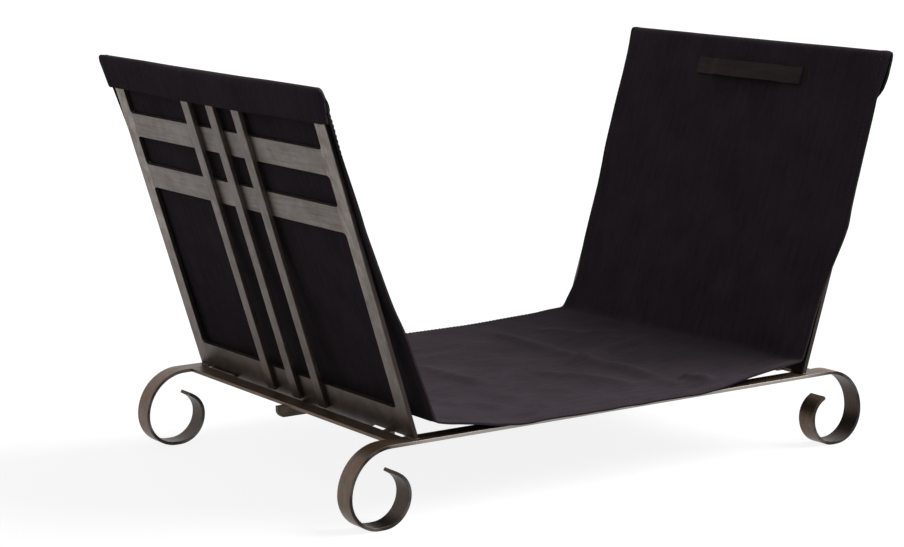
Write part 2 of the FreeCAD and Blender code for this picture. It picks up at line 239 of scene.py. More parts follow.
def smooth(a, b, v):
    """0 at a and 1 at b, with a soft start and end."""
    t = np.clip((v - a) / (b - a), 0.0, 1.0)
    return t * t * (3.0 - 2.0 * t)


def curve(v, *pairs):
    """A soft line through (place, value) pairs, read at v."""
    places, values = zip(*pairs)
    fine = np.linspace(places[0], places[-1], CURVE_STEPS)
    line = np.interp(fine, places, values)
    for _ in range(CURVE_ROUNDS):
        line[1:-1] = (line[:-2] + 2 * line[1:-1] + line[2:]) / 4
    return np.interp(v, fine, line)


def soft_noise(u, v, cell, seed):
    """Even bumps about cell millimetres across, from -1 to 1."""
    table = np.random.default_rng(seed).uniform(-1.0, 1.0, (NOISE_CELLS, NOISE_CELLS))
    a = u / cell + NOISE_SHIFT
    b = v / cell + NOISE_SHIFT
    i = np.floor(a).astype(int)
    j = np.floor(b).astype(int)
    s = smooth(0, 1, a - i)
    t = smooth(0, 1, b - j)

    def corner(right, up):
        return table[(i + right) % NOISE_CELLS, (j + up) % NOISE_CELLS]

    near = corner(0, 0) * (1 - s) + corner(1, 0) * s
    far = corner(0, 1) * (1 - s) + corner(1, 1) * s
    return near * (1 - t) + far * t


def ridge(x, y, width, height, path):
    """A fold that runs along a path of points and dies out at both ends."""
    total = np.zeros(np.broadcast(x, y).shape)
    count = len(path) - 1
    for k, ((ax, ay), (bx, by)) in enumerate(zip(path[:-1], path[1:])):
        dx = bx - ax
        dy = by - ay
        t = np.clip(((x - ax) * dx + (y - ay) * dy) / (dx * dx + dy * dy), 0.0, 1.0)
        off = np.hypot(x - ax - t * dx, y - ay - t * dy)
        along = (k + t) / count
        fade = smooth(0.0, FOLD_FADE, along) * smooth(1.0, 1.0 - FOLD_FADE, along)
        total = np.maximum(total, height * fade * np.exp(-(off / width) ** 2))
    return total


def floor_folds(x, y):
    """Folds and bumps in the floor of the carrier, as heights."""
    total = 0.0
    for width, height, path in FLOOR_FOLDS:
        total += ridge(x, y, width, height, path)
        total += SWELL_SHARE * ridge(x, y, SWELL_WIDTH * width, height, path)
    for height, cell, seed in FLOOR_BUMPS:
        total += height * soft_noise(x, y, cell, seed)
    return total


def wall_noise(level, y, height, slant, stretch, cell, seed):
    """Bumps drawn out down a wall, on a slant."""
    return height * soft_noise(y + slant * level, stretch * level, cell, seed)


def edge_to_edge(shape, level, near_edge="near"):
    """Places along y from the near edge of the cloth to its far one."""
    near = curve(level, *shape[near_edge])
    far = curve(level, *shape["far"])
    return near + ACROSS * (far - near)


def in_seam(y):
    """0 over a panel and 1 in the seams past its sides."""
    return smooth(SEAM_START, SEAM_END, np.abs(y) - PANEL_HALF)


def outer_depth(y):
    """Depth of the flap."""
    slack = smooth(0.0, SLACK_RUN, np.abs(y) - SLAT_HALF - TIGHT_PAST_SLATS)
    return OUTER + FLAP_SLACK * slack - (OUTER + FLAP_SLACK + FLAP_SEAM_OUT) * in_seam(y)


def inner_depth(shape, level, y):
    """Depth of the wall: off its panel by its belly, drawn in at the seams, with waves and pleats."""
    far = smooth(*FAR_BELLY, ACROSS)
    belly = (1.0 - far) * curve(level, *shape["belly"]) + far * curve(level, *shape["far_belly"])
    belly = belly * curve(ACROSS, *shape["belly_share"])
    pull = curve(level, *SEAM_PULL) * in_seam(y)
    waves = np.abs(sum(wall_noise(level, y, *wave) for wave in WALL_WAVES))
    waves = waves * smooth(*WAVES_UPPER, level) * smooth(*WAVES_LOWER, level)
    pleats = np.abs(wall_noise(level, y, *WALL_PLEATS)) * curve(ACROSS, *shape["pleats"])
    pleats = pleats * smooth(*PLEATS_UPPER, level) * smooth(*PLEATS_LOWER, level)
    return INNER + belly - pull + waves + pleats


def corner_drop(shape, y):
    """How far the top edge rounds off at its near and far corner."""
    drop = np.zeros_like(y)
    for radius, edge, sign in ((shape["near_corner"], y[:, :1], -1), (shape["far_corner"], y[:, -1:], 1)):
        past = np.clip(sign * (y - edge) + radius, 0.0, radius)
        drop += radius - np.sqrt(radius * radius - past * past)
    return drop


def rounded(shape, level, y):
    """Levels lowered towards the rim where its corners round off."""
    return level - corner_drop(shape, y) * smooth(CORNER_START, RIM, level)


def flap_points(side, shape):
    """The flap, upwards outside the panel."""
    mouth = MOUTH - curve(ACROSS, *shape["mouth_drop"])
    level = mouth + np.linspace(0.0, 1.0, FLAP_ROWS)[:, None] * (RIM - mouth)
    y = edge_to_edge(shape, level, "flap_near")
    return placed(side, outer_depth(y), rounded(shape, level, y), y)


def top_points(side, shape):
    """The turn over the top of the panel."""
    y = np.repeat(edge_to_edge(shape, np.array([[TOP_EDGE_LEVEL]])), TOP_ROWS, axis=0)
    angle = np.linspace(0.0, math.pi, TOP_ROWS + 2)[1:-1, None]
    low = outer_depth(y)
    high = inner_depth(shape, np.full_like(y, RIM), y)
    depth = (low + high) / 2 - (high - low) / 2 * np.cos(angle)
    level = RIM + (TOP_RISE + shape["top_slack"]) * np.sin(angle) - corner_drop(shape, y)
    return placed(side, depth, level, y)


def wall_points(side, shape):
    """The wall, down to the fold."""
    fold = curve(ACROSS, *shape["fold_level"])
    level = RIM + np.linspace(0.0, 1.0, WALL_ROWS)[:, None] * (fold - RIM)
    y = edge_to_edge(shape, level)
    return placed(side, inner_depth(shape, level, y), rounded(shape, level, y), y)


def floor_points(shape, fold):
    """The floor, from the fold to the middle of the carrier."""
    x_fold, y_fold, z_fold = np.moveaxis(fold, -1, 0)
    share = np.linspace(0.0, 1.0, FLOOR_ROWS + 1)[1:, None]
    x = x_fold * (1.0 - share)
    y_middle = FLOOR_NEAR + ACROSS * (FLOOR_FAR - FLOOR_NEAR)
    y = y_fold + smooth(*EDGES_SETTLE, share) * (y_middle - y_fold)
    rise = curve(np.abs(x_fold - x), *shape["rise"]) * (z_fold - FLAT)
    folds = floor_folds(x, y)
    between_rails = np.abs(y) < RAIL_INNER - RAIL_MARGIN
    folds = np.where(between_rails, folds, np.maximum(folds, 0.0)) * smooth(*FOLDS_SET_IN, share)
    sag = SAG * smooth(*SAG_ACROSS, np.abs(y)) * smooth(*SAG_SETS_IN, share)
    drop = NEAR_DROP * smooth(*NEAR_DROP_ACROSS, -y - PANEL_HALF) * smooth(*NEAR_DROP_SETS_IN, share)
    drop += FAR_DROP * smooth(*FAR_DROP_ACROSS, y - PANEL_HALF) * smooth(*FAR_DROP_SETS_IN, share)
    return np.stack([x, y, FLAT + rise + folds - sag - drop], -1)


def soften_crease(points, rounds):
    """Evens out the rows on both sides of the fold between wall and floor."""
    crease = len(points) - FLOOR_ROWS
    first = crease - CREASE_ROWS
    last = crease + CREASE_ROWS
    for _ in range(rounds):
        neighbours = points[first - 1:last - 1] + points[first + 1:last + 1]
        points[first:last] = (neighbours + 2 * points[first:last]) / 4


def shown_normals(points):
    """Unit normals of a grid that ends on the floor, on its upper side there."""
    normals = np.cross(np.gradient(points, axis=1), np.gradient(points, axis=0))
    normals /= np.linalg.norm(normals, axis=-1, keepdims=True)
    return normals * np.sign(normals[-1, normals.shape[1] // 2, 2])


def distance_along(places):
    """Distances of a line's places from its start."""
    return np.concatenate([[0.0], np.cumsum(np.linalg.norm(np.diff(places, axis=0), axis=1))])


def read_along(line, run, at):
    """Places on a line at distances along it."""
    return np.stack([np.interp(at, run, line[:, axis]) for axis in range(3)], -1)


def carrier_half(side):
    """One end of the carrier, flap to mid floor: its points, normals, places on the cloth and length."""
    shape = ENDS[side]
    wall = wall_points(side, shape)
    floor = floor_points(shape, wall[-1:])
    points = np.concatenate([flap_points(side, shape), top_points(side, shape), wall, floor])
    soften_crease(points, shape["fold_softness"])
    normals = shown_normals(points)
    width = points[:, -1:, 1] - points[:, :1, 1]
    from_edge = np.minimum(ACROSS, 1.0 - ACROSS) * width
    hem = HEM_RISE * smooth(HEM + HEM_EASE, HEM - HEM_EASE, from_edge)
    points = points + normals * hem[..., None]
    run = distance_along(points[:, COLUMNS // 2])
    uv = np.stack(np.broadcast_arrays(run[:, None] - run[-1], points[:, :, 1]), -1)
    return points, normals, uv, run[-1]


# Meshes
SHARP_ANGLE = math.radians(50)


def link(thing):
    bpy.context.scene.collection.objects.link(thing)
    return thing


def grid_piece(name, points, uv, thickness, material):
    """A sheet of that thickness about a grid of points."""
    rows, columns = points.shape[:2]
    index = np.arange(rows * columns).reshape(rows, columns)
    faces = np.stack([index[:-1, :-1], index[:-1, 1:], index[1:, 1:], index[1:, :-1]], -1).reshape(-1, 4)
    mesh = bpy.data.meshes.new(name)
    mesh.from_pydata((points.reshape(-1, 3) * MM).tolist(), [], faces.tolist())
    layer = mesh.uv_layers.new(name="cloth")
    corners = np.empty(len(mesh.loops), int)
    mesh.loops.foreach_get("vertex_index", corners)
    layer.data.foreach_set("uv", (uv.reshape(-1, 2) * MM)[corners].ravel())
    mesh.shade_smooth()
    piece = link(bpy.data.objects.new(name, mesh))
    thick = piece.modifiers.new("thickness", "SOLIDIFY")
    thick.thickness = thickness * MM
    thick.offset = 0.0
    bpy.context.view_layer.update()
    solid = bpy.data.meshes.new_from_object(piece.evaluated_get(bpy.context.evaluated_depsgraph_get()))
    piece.modifiers.clear()
    piece.data = solid
    solid.name = name
    solid.set_sharp_from_angle(angle=SHARP_ANGLE)
    solid.materials.clear()
    solid.materials.append(material)
    return piece


def new_piece(name, vertices, faces, material):
    """A plain mesh."""
    mesh = bpy.data.meshes.new(name)
    mesh.from_pydata((np.array(vertices) * MM).tolist(), [], faces)
    build = bmesh.new()
    build.from_mesh(mesh)
    bmesh.ops.recalc_face_normals(build, faces=build.faces)
    build.to_mesh(mesh)
    build.free()
    mesh.shade_smooth()
    mesh.set_sharp_from_angle(angle=SHARP_ANGLE)
    mesh.materials.append(material)
    return link(bpy.data.objects.new(name, mesh))


# Stitches: a thread's length, the gap to the next one, its half thickness, its sections along and around it
STITCH_LENGTH, STITCH_GAP, THREAD_HALF = 3.0, 1.4, 0.38
THREAD_SECTIONS = np.array((0.0, 0.25, 0.75, 1.0))
THREAD_RING = ((1, 0), (0, 1), (-1, 0), (0, -1))


def stitches(name, rows, material):
    """Short threads along rows of places, each row with the normals of the cloth under it."""
    vertices, faces = [], []
    around = len(THREAD_RING)
    for places, normals in rows:
        run = distance_along(places)
        for begin in np.arange(STITCH_GAP, run[-1] - STITCH_LENGTH, STITCH_LENGTH + STITCH_GAP):
            at = begin + STITCH_LENGTH * THREAD_SECTIONS
            spine = read_along(places, run, at)
            up = read_along(normals, run, at)
            across = np.cross(up, spine[-1] - spine[0])
            across /= np.linalg.norm(across, axis=1, keepdims=True)
            first = len(vertices)
            vertices.append(spine[0])
            for k in (1, 2):
                vertices += [spine[k] + THREAD_HALF * (c * across[k] + s * up[k]) for c, s in THREAD_RING]
            last = len(vertices)
            vertices.append(spine[-1])
            for i in range(around):
                a = first + 1 + i
                b = first + 1 + (i + 1) % around
                faces += [(first, b, a), (a, b, b + around, a + around), (last, a + around, b + around)]
    return new_piece(name, vertices, faces, material)


# Materials, with places in metres
class NodeTree:
    """Adds nodes to the tree of a material or a world."""

    def __init__(self, owner):
        owner.use_nodes = True
        self.nodes = owner.node_tree.nodes
        self.links = owner.node_tree.links

    def fill(self, node, inputs):
        """Sets a node's inputs to constants, or links other nodes' outputs to them."""
        for name, value in inputs.items():
            if isinstance(value, bpy.types.NodeSocket):
                self.links.new(value, node.inputs[name])
            else:
                node.inputs[name].default_value = value

    def add(self, kind, inputs):
        node = self.nodes.new("ShaderNode" + kind)
        self.fill(node, inputs)
        return node

    def noise(self, vector, scale, detail=4.0, roughness=0.55):
        inputs = {"Vector": vector, "Scale": scale, "Detail": detail, "Roughness": roughness}
        return self.add("TexNoise", inputs).outputs["Fac"]

    def stretched(self, vector, scale):
        return self.add("Mapping", {"Vector": vector, "Scale": scale}).outputs["Vector"]

    def split(self, vector):
        return self.add("SeparateXYZ", {"Vector": vector}).outputs

    def remap(self, value, low, high, to_low=0.0, to_high=1.0):
        inputs = {"Value": value, "From Min": low, "From Max": high, "To Min": to_low, "To Max": to_high}
        return self.add("MapRange", inputs).outputs["Result"]

    def math(self, operation, a, b=0.0):
        node = self.nodes.new("ShaderNodeMath")
        node.operation = operation
        self.fill(node, {0: a, 1: b})
        return node.outputs["Value"]

    def weighted_sum(self, values, weights):
        total = 0.0
        for value, weight in zip(values, weights):
            total = self.math("ADD", total, self.math("MULTIPLY", value, weight))
        return total

    def mix(self, factor, a, b):
        """A colour between two, each of them three numbers or another node's output."""
        node = self.nodes.new("ShaderNodeMix")
        node.data_type = "RGBA"
        a, b = ((*color, 1.0) if isinstance(color, tuple) else color for color in (a, b))
        self.fill(node, {"A": a, "B": b, "Factor": factor})
        return node.outputs["Result"]

    def bump(self, height, strength, distance):
        inputs = {"Height": height, "Strength": strength, "Distance": distance}
        return self.add("Bump", inputs).outputs["Normal"]


def new_material(name):
    """A new material, its node tree and its surface shader."""
    material = bpy.data.materials.new(name)
    tree = NodeTree(material)
    return material, tree, tree.nodes["Principled BSDF"]


# Cloth: spans and shares of patches, grain and streaks in its shade
SHADE_SPANS = ((0.35, 0.7), (0.3, 0.7), (0.35, 0.65))
CLOTH_SHADE = (0.42, 0.33, 0.25)

# Shares of weave, creases and streaks in its relief, and streaks per metre along and across its run
CLOTH_RELIEF = (0.12, 2.2, 1.5)
CLOTH_STREAKS = (26.0, 190.0, 1.0)


def cloth_material(name, dark, light, weave):
    """Matt woven cloth with soft patches, fine grain and streaks along its run."""
    material, tree, surface = new_material(name)
    place = tree.add("UVMap", {})
    place.uv_map = "cloth"
    vector = place.outputs["UV"]
    patches = tree.noise(vector, scale=22.0, detail=5.0)
    grain = tree.noise(vector, scale=900.0, detail=2.0, roughness=0.7)
    streaks = tree.noise(tree.stretched(vector, CLOTH_STREAKS), scale=1.0, detail=5.0, roughness=0.6)
    creases = tree.noise(vector, scale=55.0, detail=6.0, roughness=0.6)
    shades = [tree.remap(mark, *span) for mark, span in zip((patches, grain, streaks), SHADE_SPANS)]
    sides = tree.split(vector)
    turns = [tree.math("MULTIPLY", sides[axis], 2.0 * math.pi / weave) for axis in ("X", "Y")]
    woven = tree.math("MULTIPLY", tree.math("SINE", turns[0]), tree.math("SINE", turns[1]))
    height = tree.weighted_sum((woven, creases, streaks), CLOTH_RELIEF)
    tree.fill(surface, {
        "Base Color": tree.mix(tree.weighted_sum(shades, CLOTH_SHADE), dark, light),
        "Normal": tree.bump(height, strength=0.5, distance=0.001),
        "Roughness": 0.92,
        "Specular IOR Level": 0.04,
        "Sheen Weight": 0.02,
        "Sheen Roughness": 0.5,
        "Sheen Tint": (0.62, 0.55, 0.62, 1.0),
    })
    return material


# Steel: shares of brush marks and patches in its tone, and of brush marks and specks in its relief
STEEL_TONE = (0.55, 0.45)
STEEL_RELIEF = (1.0, 0.5)

# Spans of tone over which it gets lighter and smoother, and its roughness where dark and where light
LIGHTER_SPAN, SMOOTHER_SPAN = (0.32, 0.68), (0.3, 0.7)
DARK_ROUGHNESS, LIGHT_ROUGHNESS = 0.5, 0.36

# Patina spots: colour, spots per metre and strength
PANEL_PATINA = (
    ((0.118, 0.092, 0.098), 64.0, 0.5),
    ((0.070, 0.066, 0.047), 83.0, 0.5),
    ((0.105, 0.060, 0.038), 47.0, 0.45),
)
SCROLL_PATINA = (
    ((0.128, 0.094, 0.104), 86.0, 0.7),
    ((0.088, 0.082, 0.046), 110.0, 0.7),
    ((0.138, 0.066, 0.032), 70.0, 0.6),
)
SPOT_SPAN = (0.5, 0.68)

# Panels: painted shade, brown and darker towards the foot, the heights it fades over, its strength, and that
# of the painted shade on the uprights' sides
FOOT_PAINTED_SHADE = (0.036, 0.021, 0.014)
FOOT_HEIGHTS, FOOT_STRENGTH = (0.07, 0.23), 0.85
EDGE_SHADE_STRENGTH = 0.8

# Scrolls: the middle of each, and the blend to painted shade on its inside
SCROLL_X, SCROLL_Z = 0.249, 0.035
INSIDE_SHADE_SPAN, INSIDE_SHADE_STRENGTH = (0.002, -0.002), 0.75

# Where a rail's edge turns from painted highlight to painted shade, along the bar and below it, and the
# share of that left in patches
BEND_SPAN, BELOW_BAR = (0.205, 0.245), (0.065, 0.058)
EDGE_PATCHES, EDGE_PATCH_SHARE = (0.45, 0.65), 0.7

# Edges: colour of the painted highlight and of the painted shade, which also darkens the scrolls' insides
# and the uprights' sides, and how squarely they face front or rear
PAINTED_HIGHLIGHT, PAINTED_SHADE = (0.300, 0.275, 0.250), (0.022, 0.018, 0.016)
FACING_SIDE = (0.6, 0.9)


def scroll_color(tree, color, at, facing, on_edge, patches):
    """The colour of a rail: painted shade inside its scrolls, a painted highlight on the edges along the bar
    and painted shade on the edges of the scrolls.
    """
    from_middle = tree.math("ABSOLUTE", at["X"])
    out_x = tree.math("SUBTRACT", from_middle, SCROLL_X)
    out_z = tree.math("SUBTRACT", at["Z"], SCROLL_Z)
    face_x = tree.math("MULTIPLY", facing["X"], tree.math("SIGN", at["X"]))
    outwards = tree.weighted_sum((out_x, out_z), (face_x, facing["Z"]))
    # Painted shade on the faces inside each curl
    color = tree.mix(tree.remap(outwards, *INSIDE_SHADE_SPAN, 0.0, INSIDE_SHADE_STRENGTH), color, PAINTED_SHADE)
    on_scroll = tree.math("MAXIMUM", tree.remap(from_middle, *BEND_SPAN), tree.remap(at["Z"], *BELOW_BAR))
    on_scroll = tree.math("MULTIPLY", on_scroll, tree.remap(patches, *EDGE_PATCHES, 1.0, EDGE_PATCH_SHARE))
    return tree.mix(on_edge, color, tree.mix(on_scroll, PAINTED_HIGHLIGHT, PAINTED_SHADE))


def steel_material(name, brush, tones, patina=PANEL_PATINA,
                   scrolls=False, painted_foot_shade=False, painted_edge_shade=False):
    """Waxed dark steel with brush marks drawn out along one direction and a mottled patina, with optional
    painted shade and highlights.
    """
    material, tree, surface = new_material(name)
    place = tree.add("TexCoord", {}).outputs
    vector = place["Object"]
    at = tree.split(vector)
    facing = tree.split(place["Normal"])
    streaks = tree.noise(tree.stretched(vector, brush), scale=1.0, detail=5.0, roughness=0.6)
    patches = tree.noise(vector, scale=38.0, detail=5.0, roughness=0.6)
    specks = tree.noise(vector, scale=420.0, detail=3.0, roughness=0.6)
    tone = tree.weighted_sum((streaks, patches), STEEL_TONE)
    color = tree.mix(tree.remap(tone, *LIGHTER_SPAN), *tones)
    if painted_foot_shade:
        # Painted shade: the bars get darker and browner towards the foot
        color = tree.mix(tree.remap(at["Z"], *FOOT_HEIGHTS, FOOT_STRENGTH, 0.0), color, FOOT_PAINTED_SHADE)
    for tint, scale, strength in patina:
        spots = tree.noise(vector, scale, detail=3.0, roughness=0.6)
        color = tree.mix(tree.remap(spots, *SPOT_SPAN, 0.0, strength), color, tint)
    on_edge = tree.remap(tree.math("ABSOLUTE", facing["Y"]), *FACING_SIDE)
    if painted_edge_shade:
        # Painted shade on the sides that face front or rear
        color = tree.mix(tree.math("MULTIPLY", on_edge, EDGE_SHADE_STRENGTH), color, PAINTED_SHADE)
    if scrolls:
        # Painted shade and painted highlights on the rails' scrolls and edges
        color = scroll_color(tree, color, at, facing, on_edge, patches)
    height = tree.weighted_sum((streaks, specks), STEEL_RELIEF)
    tree.fill(surface, {
        "Base Color": color,
        "Roughness": tree.remap(tone, *SMOOTHER_SPAN, DARK_ROUGHNESS, LIGHT_ROUGHNESS),
        "Normal": tree.bump(height, strength=0.14, distance=0.0004),
        "Metallic": 0.85,
    })
    return material


def thread_material(name, dark, light):
    """Sewing thread."""
    material, tree, surface = new_material(name)
    shade = tree.noise(tree.add("TexCoord", {}).outputs["Object"], scale=700.0, detail=2.0)
    tree.fill(surface, {
        "Base Color": tree.mix(shade, dark, light),
        "Roughness": 0.8,
        "Specular IOR Level": 0.1,
    })
    return material


# Finishes: tones from dark to light, brush marks per metre along x, y and z, and metres between threads
CLOTH_TONES = ((0.0240, 0.0185, 0.0228), (0.0500, 0.0388, 0.0474))
STRAP_TONES = ((0.038, 0.0300, 0.0285), (0.084, 0.0660, 0.0610))
THREAD_TONES = ((0.032, 0.026, 0.030), (0.070, 0.057, 0.065))
SCROLL_TONES = ((0.080, 0.053, 0.035), (0.182, 0.123, 0.086))
# Centre rail and foot welds: the steel darkened, as painted shade
CENTER_SHADED_TONES = ((0.024, 0.018, 0.014), (0.052, 0.040, 0.032))
# Uprights and corner welds: the steel lightened, as painted highlight
UPRIGHT_LIT_TONES = ((0.146, 0.123, 0.112), (0.292, 0.253, 0.234))
SLAT_TONES = ((0.082, 0.068, 0.061), (0.164, 0.141, 0.129))
PANEL_TONES = ((0.090, 0.075, 0.067), (0.176, 0.151, 0.138))
ALONG_BASE, ACROSS_BASE = (30.0, 420.0, 60.0), (420.0, 30.0, 60.0)
UP_PANEL, ACROSS_PANEL = (260.0, 420.0, 22.0), (260.0, 22.0, 420.0)
CLOTH_WEAVE, STRAP_WEAVE = 0.0011, 0.0013

CLOTH_FINISH = cloth_material("carrier_cloth", *CLOTH_TONES, CLOTH_WEAVE)
STRAP_FINISH = cloth_material("strap_cloth", *STRAP_TONES, STRAP_WEAVE)
THREAD_FINISH = thread_material("thread", *THREAD_TONES)
RAIL_FINISH = steel_material("rail_steel", ALONG_BASE, SCROLL_TONES, SCROLL_PATINA, scrolls=True)
CENTER_SHADED_FINISH = steel_material("center_steel_painted_shade", ALONG_BASE, CENTER_SHADED_TONES)
CROSS_FINISH = steel_material("cross_steel", ACROSS_BASE, SCROLL_TONES)
UPRIGHT_LIT_FINISH = steel_material("upright_steel_painted_light", UP_PANEL, UPRIGHT_LIT_TONES, painted_foot_shade=True, painted_edge_shade=True)
SLAT_FINISH = steel_material("slat_steel", UP_PANEL, SLAT_TONES, painted_foot_shade=True)
PANEL_FINISH = steel_material("panel_steel", ACROSS_PANEL, PANEL_TONES, painted_foot_shade=True)

# The first ending that fits a bar's name gives its finish
BAR_FINISHES = (
    ("center_rail", CENTER_SHADED_FINISH),
    ("front_rail", RAIL_FINISH),
    ("rear_rail", RAIL_FINISH),
    ("_rail", PANEL_FINISH),
    ("cross_bar", CROSS_FINISH),
    ("_lug", CROSS_FINISH),
    ("_slat", SLAT_FINISH),
    ("_upright", UPRIGHT_LIT_FINISH),
)
SOFT_ENDINGS = ("_wall", "_handle", "carrier_floor")

# Bars: distance within which corners are joined, and width, steps and least angle of the eased edges
JOIN_WITHIN = 0.01
EASED_EDGE, EASED_STEPS, EASED_ANGLE = 0.4, 2, math.radians(40)


def finish_bar(node, bar):
    """Gives a bar of the frame its finish and slightly eased edges."""
    bar.data.materials.clear()
    bar.data.materials.append(next(finish for ending, finish in BAR_FINISHES if node.endswith(ending)))
    weld = bar.modifiers.new("join", "WELD")
    weld.merge_threshold = JOIN_WITHIN * MM
    eased = bar.modifiers.new("eased_edges", "BEVEL")
    eased.width = EASED_EDGE * MM
    eased.segments = EASED_STEPS
    eased.limit_method = "ANGLE"
    eased.angle_limit = EASED_ANGLE
    even = bar.modifiers.new("even_shading", "WEIGHTED_NORMAL")
    even.keep_sharp = False


for node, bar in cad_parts.items():
    if not node.endswith(SOFT_ENDINGS):
        finish_bar(node, bar)


def carrier_end(side):
    """One half of the carrier with its hem stitches."""
    points, normals, uv, length = carrier_half(side)
    half = grid_piece(f"carrier_{SIDE_NAMES[side]}", points, uv, CLOTH, CLOTH_FINISH)
    surface = points + normals * CLOTH / 2
    hems = [(surface[:, column], normals[:, column]) for column in HEM_COLUMNS]
    hem = stitches(f"hem_stitches_{SIDE_NAMES[side]}", hems, THREAD_FINISH)
    for piece in (half, hem):
        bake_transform(piece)
    return half


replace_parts(carrier_end(LEFT), "left_wall", "carrier_floor")
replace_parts(carrier_end(RIGHT), "right_wall")

# Straps: length, width and thickness, and, in metres, the length they are cut to
STRAP_LENGTH, STRAP_WIDTH, STRAP_THICKNESS = 147.0, 16.0, 2.2

# Y and level of a strap's middle, the length sewn down at each end, and where it stands off fully
STRAP_MIDDLE, STRAP_LEVEL = -8.5, 271.2
STRAP_SEWN, STRAP_RAISED = 18.0, 36.0

# Stand-off and droop of its middle, its gap to the wall, and its grid
STAND_OFF, STRAP_DROOP, STRAP_GAP = 5.6, 1.2, 0.15
STRAP_ROWS, STRAP_COLUMNS = 61, 7

# Boxes sewn through its ends: distance of their middle from the end, and half sizes
BOX_INSET, BOX_HALF_LENGTH, BOX_HALF_WIDTH = 8.5, 6.0, 5.4


def strap(side):
    """A handle sewn to the wall at both ends, standing off it between them."""
    t = np.linspace(-1.0, 1.0, STRAP_ROWS)[:, None]
    across = np.linspace(-0.5, 0.5, STRAP_COLUMNS)[None, :] * STRAP_WIDTH
    along = t * STRAP_LENGTH / 2
    stand = STAND_OFF * smooth(STRAP_SEWN, STRAP_RAISED, STRAP_LENGTH / 2 - np.abs(along))
    depth = INNER + CLOTH / 2 + STRAP_GAP + STRAP_THICKNESS / 2 + stand
    level = STRAP_LEVEL + across - STRAP_DROOP * (1.0 - t * t)
    depth, level, y = np.broadcast_arrays(depth, level, STRAP_MIDDLE + along)
    uv = np.stack(np.broadcast_arrays(along, across), -1)
    points = placed(side, depth, level, y)
    piece = grid_piece(f"strap_{SIDE_NAMES[side]}", points, uv, STRAP_THICKNESS, STRAP_FINISH)
    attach(piece, f"{SIDE_NAMES[side]}_end")
    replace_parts(piece, f"{SIDE_NAMES[side]}_handle")


def sewn_box(y, level):
    """Lines of a sewn box: its four sides and its two diagonals."""
    turns = ((-1, -1), (1, -1), (1, 1), (-1, 1))
    corners = [(y + i * BOX_HALF_LENGTH, level + j * BOX_HALF_WIDTH) for i, j in turns]
    sides = list(zip(corners, corners[1:] + corners[:1]))
    return sides + [(corners[0], corners[2]), (corners[3], corners[1])]


def strap_stitches(side):
    """The boxes that sew a strap's ends down."""
    top = INNER + CLOTH / 2 + STRAP_GAP + STRAP_THICKNESS
    outward = (-side * math.cos(LEAN), 0.0, math.sin(LEAN))
    rows = []
    for end in (-1, 1):
        for line in sewn_box(STRAP_MIDDLE + end * (STRAP_LENGTH / 2 - BOX_INSET), STRAP_LEVEL):
            y, level = np.transpose(line)
            rows.append((placed(side, top, level, y), np.array([outward] * len(line))))
    boxes = stitches(f"strap_stitches_{SIDE_NAMES[side]}", rows, THREAD_FINISH)
    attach(boxes, f"{SIDE_NAMES[side]}_end")


# Fillets in the corners of a panel: radius, reach into the bars, distance below their faces, and places
FILLET, FILLET_SUNK, FILLET_INSET, FILLET_PLACES = 3.6, 0.3, 0.15, 7

# Seams dressed flush there: half width, distance from the rail's edges, and height above its faces
SEAM_HALF, SEAM_INSET, SEAM_PROUD = 1.6, 0.5, 0.06

# Weld beads: points around, step along, ripple length and height, end size
BEAD_POINTS, BEAD_STEP, BEAD_RIPPLE, BEAD_SWELL, BEAD_END = 8, 0.6, 2.4, 0.15, 0.1

# Beads at a panel's foot: their run along an upright and size, then ends, depth and size of the rear seam
FOOT_RUN, FOOT_BEAD = 13.0, 1.15
REAR_SEAM, REAR_SEAM_SUNK, REAR_SEAM_BEAD = (112.0, 156.0), 0.5, 1.75


def add_prism(vertices, faces, ends):
    """Adds a prism between two outlines with as many points."""
    first = len(vertices)
    count = len(ends[0])
    for outline in ends:
        vertices += outline.tolist()
    faces += [tuple(range(first, first + count)), tuple(range(first + count, first + 2 * count))]
    for i in range(first, first + count):
        j = first + (i - first + 1) % count
        faces.append((i, j, j + count, i + count))


def corner_welds(side):
    """Small fillets and flush seams where the rails of a panel meet its uprights."""
    turn = np.linspace(0.0, math.pi / 2, FILLET_PLACES)
    fillet_depths = (FILLET_INSET, PANEL_DEPTH - FILLET_INSET)
    seam_depths = (-SEAM_PROUD, PANEL_DEPTH + SEAM_PROUD)
    # the bottom rail's lower edge is at the foot and has no fillets
    edges = [edge for bottom, top in RAIL_SPANS for edge in ((bottom, -1), (top, 1))][1:]
    vertices, faces = [], []
    for end in (-1, 1):
        joint = end * (PANEL_HALF - UPRIGHT_WIDTH)
        for edge, up in edges:
            y = np.append(joint + end * FILLET_SUNK, joint - end * FILLET * (1.0 - np.cos(turn)))
            level = np.append(edge - up * FILLET_SUNK, edge + up * FILLET * (1.0 - np.sin(turn)))
            add_prism(vertices, faces, [placed(side, depth, level, y) for depth in fillet_depths])
        for bottom, top in RAIL_SPANS:
            y = joint + SEAM_HALF * np.array((-1, 1, 1, -1))
            level = np.array((bottom, bottom, top, top)) + SEAM_INSET * np.array((1, 1, -1, -1))
            add_prism(vertices, faces, [placed(side, depth, level, y) for depth in seam_depths])
    return new_piece(f"corner_welds_{SIDE_NAMES[side]}", vertices, faces, UPRIGHT_LIT_FINISH)


